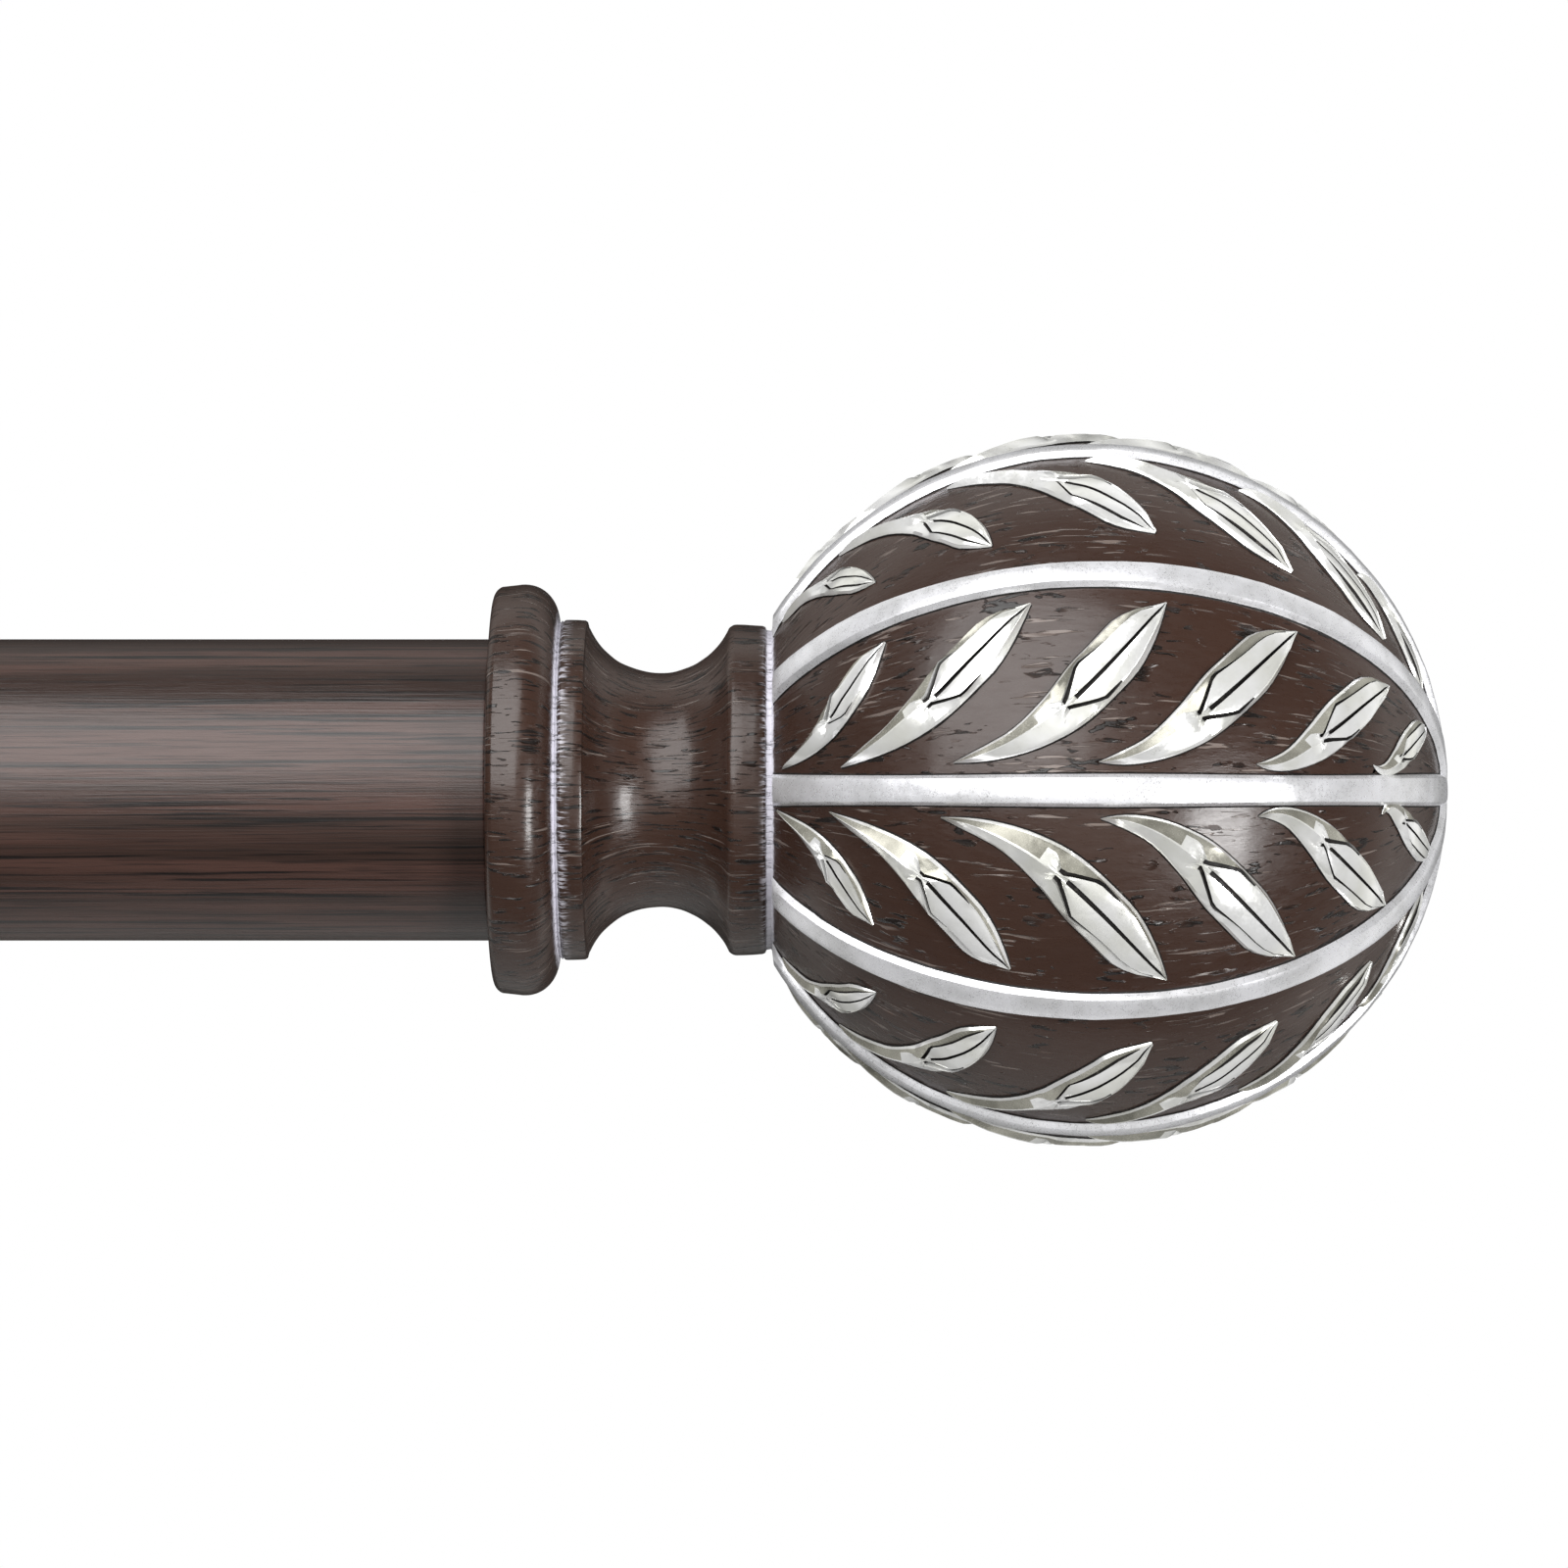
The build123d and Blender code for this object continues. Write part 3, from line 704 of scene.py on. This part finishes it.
def walnut_film():
    m = Nodes("walnut_film")
    broad = m.noise(m.coordinates((8, 240, 240)), detail=3, roughness=0.5, distortion=0.6)
    streak = m.noise(m.coordinates((22, 1300, 1300)), detail=4, roughness=0.6, distortion=0.5)
    fine = m.noise(m.coordinates((60, 3400, 3400)), detail=3, roughness=0.7)
    base = m.mix(m.ramp(broad, 0.4, 0.6), colour(45, 31, 26), colour(68, 47, 41))
    base = m.mix(m.ramp(streak, 0.52, 0.64), base, colour(16, 11, 10))
    base = m.mix(m.math("MULTIPLY", m.ramp(fine, 0.5, 0.66), 0.6), base, colour(18, 12, 11))
    m.set(base_color=base, roughness=m.ramp(fine, 0.3, 0.7, 0.26, 0.36))
    m.set(specular_ior_level=0.5)
    m.set(normal=m.bump(m.math("ADD", fine, streak), 0.00004))
    return m.material


def bracket_paint():
    m = Nodes("bracket_paint")
    peel = m.noise(m.coordinates((900, 900, 900)), detail=2, roughness=0.5)
    cloud = m.noise(m.coordinates((70, 70, 70)), detail=3)
    m.set(base_color=m.mix(cloud, colour(70, 52, 45), colour(56, 41, 35)))
    m.set(roughness=m.ramp(cloud, 0.3, 0.7, 0.3, 0.4), coat_weight=0.2, coat_roughness=0.25)
    m.set(normal=m.bump(peel, 0.00006))
    return m.material


def plated_metal(name, tone, roughness):
    m = Nodes(name)
    brushed = m.noise(m.coordinates((300, 3000, 3000)), detail=3, roughness=0.6)
    cloud = m.noise(m.coordinates((160, 160, 160)), detail=4)
    darker = tuple(c * 0.72 for c in tone[:3]) + (1.0,)
    m.set(base_color=m.mix(cloud, tone, darker), metallic=1.0)
    m.set(roughness=m.ramp(brushed, 0.3, 0.7, roughness - 0.06, roughness + 0.08))
    m.set(normal=m.bump(brushed, 0.00003))
    return m.material


def moulded_plastic(name, tone):
    m = Nodes(name)
    grain = m.noise(m.coordinates((2400, 2400, 2400)), detail=2)
    cloud = m.noise(m.coordinates((120, 120, 120)), detail=3)
    darker = tuple(c * 0.85 for c in tone[:3]) + (1.0,)
    m.set(base_color=m.mix(cloud, tone, darker), roughness=m.ramp(grain, 0.3, 0.7, 0.45, 0.58))
    m.set(normal=m.bump(grain, 0.00005))
    return m.material


# ---- pieces -------------------------------------------------------------------------------


def place_finials():
    silvers = []
    for name, tone, shade_tone, roughness, pit_cover in (
        ("silver_leaf", colour(242, 242, 242), colour(226, 226, 220), 0.2, 0.64),
        ("silver_rib", colour(236, 236, 240), colour(212, 212, 214), 0.3, 0.5),
        # The third silver is painted shade: an olive-grey for the light falling less on one flank of the
        # leaves.
        ("silver_painted_shade", colour(176, 174, 163), colour(128, 126, 116), 0.24, 0.8),
    ):
        silvers.append(silver_leaf(name, tone, shade_tone, roughness, pit_cover))
    leaf_silver, rib_silver, shade_silver = silvers
    mesh = finial_mesh((brown_lacquer(), leaf_silver, dark_glaze(), rib_silver, shade_silver))
    for side, end, turn in (("right", RIGHT_END, 0), ("left", LEFT_END, math.pi)):
        finial = new_object(f"{side}_carved_finial", mesh)
        spot = Vector((end * MM, AXIS_Y * MM, 0))
        finial.matrix_world = Matrix.Translation(spot) @ Matrix.Rotation(turn, 4, "Y")
        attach(finial, f"{side}_finial_unit")
        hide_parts(f"{side}_finial")


TUBE_WALL = 1.0
TUBE_EDGE = 0.6  # rolled edge at the finial's end


def tube_outline(radius, length):
    """Closed (x, radius) outline of a tube whose rolled end is at its far end."""
    points = [(0.0, radius - TUBE_WALL), (0.0, radius)]
    points += line((4.0, radius), (length - TUBE_EDGE - 0.5, radius), 12)
    points += arc((length - TUBE_EDGE, radius - TUBE_EDGE), (TUBE_EDGE, TUBE_EDGE), 90, 0, 8)
    points += [(length, radius - TUBE_WALL)]
    return without_repeats(points)


def place_tubes(film):
    for name, radius, end, start, body, turn in (
        ("outer_tube", OUTER_TUBE_R, RIGHT_END, MOUTH, "outer_pole", 0),
        ("inner_tube", INNER_TUBE_R, LEFT_END, INNER_TUBE_END, "inner_pole", math.pi),
    ):
        mesh = lathe_mesh(f"{name}_film", tube_outline(radius, abs(end - start)), 256, True, [film])
        shade(mesh, crease=30)
        tube = new_object(f"{name}_film", mesh)
        spot = Vector((start * MM, AXIS_Y * MM, 0))
        tube.matrix_world = Matrix.Translation(spot) @ Matrix.Rotation(turn, 4, "Y")
        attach(tube, body)
        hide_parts(name)


def paint_frame():
    """Gives the CAD nodes that stay visible their finishes."""
    zinc = plated_metal("zinc_plate", (0.62, 0.63, 0.65, 1.0), 0.3)
    oxide = plated_metal("black_oxide", (0.05, 0.05, 0.055, 1.0), 0.42)
    bronze = plated_metal("dark_bronze", (0.2, 0.135, 0.1, 1.0), 0.36)
    finishes = {
        "bracket_paint": bracket_paint(),
        "screw_bronze": bronze,
        "black_steel": oxide,
        "zinc_steel": zinc,
        "brown_plastic": moulded_plastic("brown_plastic", colour(58, 44, 38)),
        "nylon": moulded_plastic("nylon", colour(226, 222, 210)),
    }
    for part in frame["record"]["subparts"]:
        finish = finishes.get(part["material_slot"])
        if finish is not None:
            mesh = frame["nodes"][part["node"]].data
            mesh.materials.clear()
            mesh.materials.append(finish)


# ---- studio -------------------------------------------------------------------------------

CAMERA_DISTANCE = 650.0
CAMERA_X = RIGHT_END + 36.4
CAMERA_Z = 0.75
LENS = 118.3


def camera():
    data = bpy.data.cameras.new("camera")
    data.lens = LENS
    data.sensor_width = 36.0
    thing = bpy.data.objects.new("camera", data)
    bpy.context.scene.collection.objects.link(thing)
    thing.location = Vector((CAMERA_X, AXIS_Y - CAMERA_DISTANCE, CAMERA_Z)) * MM
    thing.rotation_euler = (math.pi / 2, 0, 0)
    bpy.context.scene.camera = thing


def softbox(name, azimuth, elevation, distance, width, height, power):
    """Rectangular lamp aimed at the finial. Azimuth is to the right of the camera's direction."""
    data = bpy.data.lights.new(name, "AREA")
    data.shape = "RECTANGLE"
    data.size = width
    data.size_y = height
    data.energy = power
    lamp = bpy.data.objects.new(name, data)
    bpy.context.scene.collection.objects.link(lamp)
    target = Vector((RIGHT_END + BALL_CENTRE / 2, AXIS_Y, 0)) * MM
    a, e = math.radians(azimuth), math.radians(elevation)
    towards = Vector((math.sin(a) * math.cos(e), -math.cos(a) * math.cos(e), math.sin(e)))
    lamp.location = target + towards * distance
    lamp.rotation_euler = towards.to_track_quat("Z", "Y").to_euler()


# Brightness of the studio by how far back one looks, from -1 behind the camera to 1 behind the
# object: a bright patch round the camera, dark curtains beside it, bright sides, a dark back.
STUDIO = (
    (-1, 0.7), (-0.93, 0.55), (-0.8, 0.14), (-0.1, 0.1),
    (0.2, 0.4), (0.45, 0.9), (0.65, 0.4), (0.9, 0.04),
)


def studio_world():
    world = bpy.data.worlds.new("studio")
    world.use_nodes = True
    tree = world.node_tree
    tree.nodes.clear()
    place = tree.nodes.new("ShaderNodeTexCoord")
    split = tree.nodes.new("ShaderNodeSeparateXYZ")
    tree.links.new(place.outputs["Generated"], split.inputs[0])
    back = tree.nodes.new("ShaderNodeMapRange")
    back.inputs["From Min"].default_value = -1.0
    tree.links.new(split.outputs["Y"], back.inputs["Value"])
    walls = tree.nodes.new("ShaderNodeValToRGB")
    stops = walls.color_ramp.elements
    while len(stops) < len(STUDIO):
        stops.new(0.5)
    for stop, (y, level) in zip(stops, STUDIO):
        stop.position = (y + 1) / 2
        stop.color = (level, level, level * 0.97, 1)
    tree.links.new(back.outputs["Result"], walls.inputs["Fac"])
    light = tree.nodes.new("ShaderNodeBackground")
    tree.links.new(walls.outputs["Color"], light.inputs["Color"])
    backdrop = tree.nodes.new("ShaderNodeBackground")
    backdrop.inputs["Color"].default_value = (1, 1, 1, 1)
    rays = tree.nodes.new("ShaderNodeLightPath")
    chosen = tree.nodes.new("ShaderNodeMixShader")
    tree.links.new(rays.outputs["Is Camera Ray"], chosen.inputs[0])
    tree.links.new(light.outputs[0], chosen.inputs[1])
    tree.links.new(backdrop.outputs[0], chosen.inputs[2])
    out = tree.nodes.new("ShaderNodeOutputWorld")
    tree.links.new(chosen.outputs[0], out.inputs["Surface"])
    bpy.context.scene.world = world


FLOOR_R = 2400.0
FLOOR_DEPTH = 2100.0  # below the pole's axis
FLOOR_BACK = 2000.0  # how far behind the wall plane the disc is centred
FLOOR_T = 20.0


def floor():
    m = Nodes("pale_floor")
    cloud = m.noise(m.coordinates((3, 3, 3)), detail=3)
    m.set(base_color=m.mix(cloud, (0.86, 0.86, 0.86, 1), (0.9, 0.9, 0.9, 1)), roughness=0.7)
    outline = [(0.0, 0.0), (0.0, FLOOR_R), (-FLOOR_T, FLOOR_R), (-FLOOR_T, 0.0)]
    mesh = lathe_mesh("floor", outline, 96, False, [m.material])
    thing = new_object("floor", mesh)
    spot = Vector(((CAD_BOX[0].x + CAD_BOX[1].x) / 2, FLOOR_BACK * MM, -FLOOR_DEPTH * MM))
    thing.matrix_world = Matrix.Translation(spot) @ Matrix.Rotation(-math.pi / 2, 4, "Y")


def main():
    place_finials()
    place_tubes(walnut_film())
    paint_frame()
    studio_world()
    softbox("key", azimuth=-27, elevation=34, distance=1.6, width=1.6, height=2.0, power=42)
    softbox("kicker", azimuth=42, elevation=-12, distance=1.4, width=0.45, height=0.6, power=17)
    floor()
    camera()
    bpy.context.scene.view_settings.view_transform = "Standard"


main()
